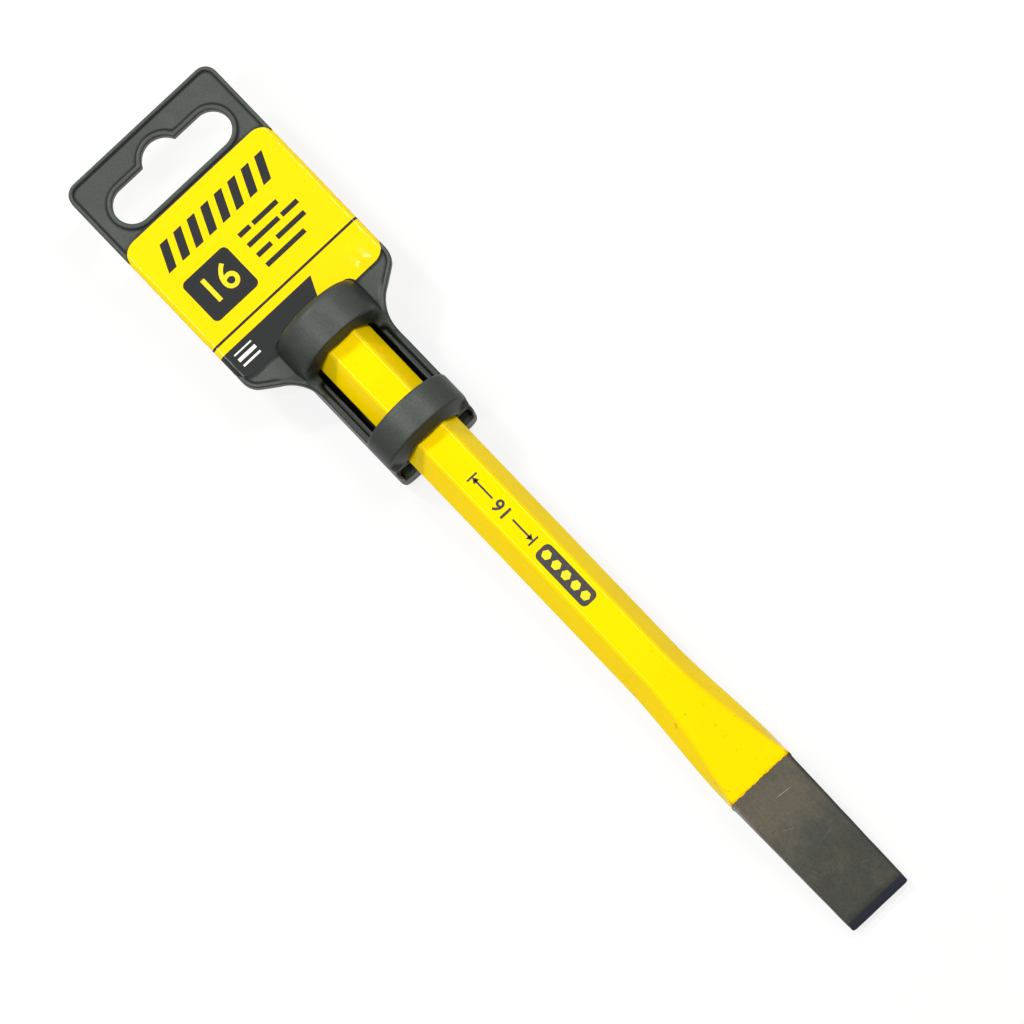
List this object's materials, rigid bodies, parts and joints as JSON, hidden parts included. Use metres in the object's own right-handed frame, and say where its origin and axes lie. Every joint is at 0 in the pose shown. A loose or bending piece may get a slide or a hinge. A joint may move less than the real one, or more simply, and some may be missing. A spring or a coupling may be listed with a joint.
{
  "type": "cold chisel",
  "caption": "Forged cold chisel with an enamelled hexagon bar and a flared bare blade, seated head first in a pull-off plastic hanger with a peg slot and a wrapped label.",
  "frame": {"origin": "under the middle of the box, on the plane of the socket's flat back", "axes": "+X along the bar from the hanger to the cutting edge, +Z out of the label side, +Y across the plate"},
  "size_m": [0.231, 0.0414, 0.0222],
  "materials": {
    "forged_steel": "dark heat-treated steel with fine lengthwise grinding marks",
    "yellow_enamel": "glossy dipped enamel",
    "hanger_plastic": "fine spark texture, charcoal",
    "label_film": "glossy laminated print"
  },
  "bodies": {
    "chisel": {"chisel_forging": "forged_steel", "enamel_coat": "yellow_enamel"},
    "hanger": {"hanger": "hanger_plastic", "wrap_label": "label_film"}
  },
  "joints": [
    {"name": "hanger_pull", "type": "slide", "parent": "chisel", "child": "hanger", "axis": [-1, 0, 0], "range_m": [0, 0.05]}
  ]
}
